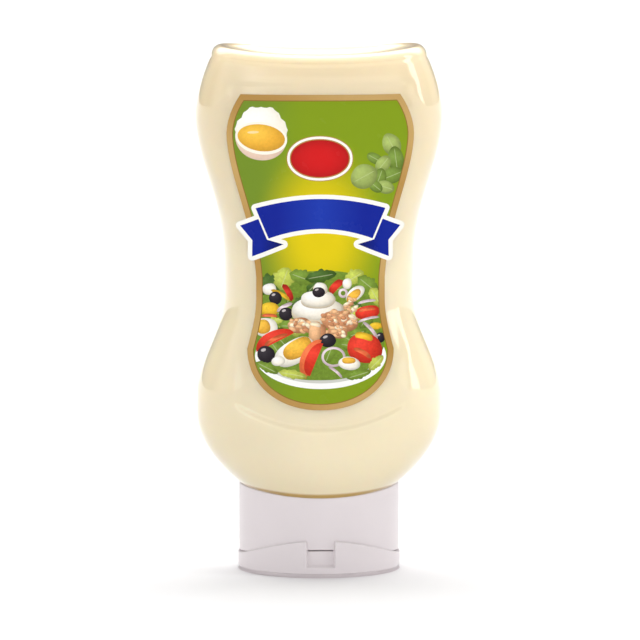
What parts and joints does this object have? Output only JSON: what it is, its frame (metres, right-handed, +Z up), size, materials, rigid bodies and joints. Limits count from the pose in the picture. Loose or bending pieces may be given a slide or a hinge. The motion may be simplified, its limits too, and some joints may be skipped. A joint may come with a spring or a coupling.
{
  "type": "mayonnaise squeeze bottle",
  "caption": "Hourglass squeeze bottle of mayonnaise that stands upside down on an oval flip cap, with a die-cut front label.",
  "frame": {"origin": "centre of the cap's foot, on the surface that the bottle stands on", "axes": "+Z up through the bottle to its base, -Y towards the front label, +X to the right seen from the front"},
  "size_m": [0.0924, 0.0562, 0.1975],
  "materials": {
    "cap": "smooth white moulded plastic",
    "bottle_plastic": "clear glossy blown plastic",
    "mayonnaise": "smooth opaque pale cream emulsion",
    "label": "semi-gloss printed film"
  },
  "bodies": {
    "root": {"cap_base": "cap", "cap_lid": "cap", "bottle": "bottle_plastic", "mayonnaise": "mayonnaise", "label_front": "label", "label_back": "label"}
  },
  "joints": []
}
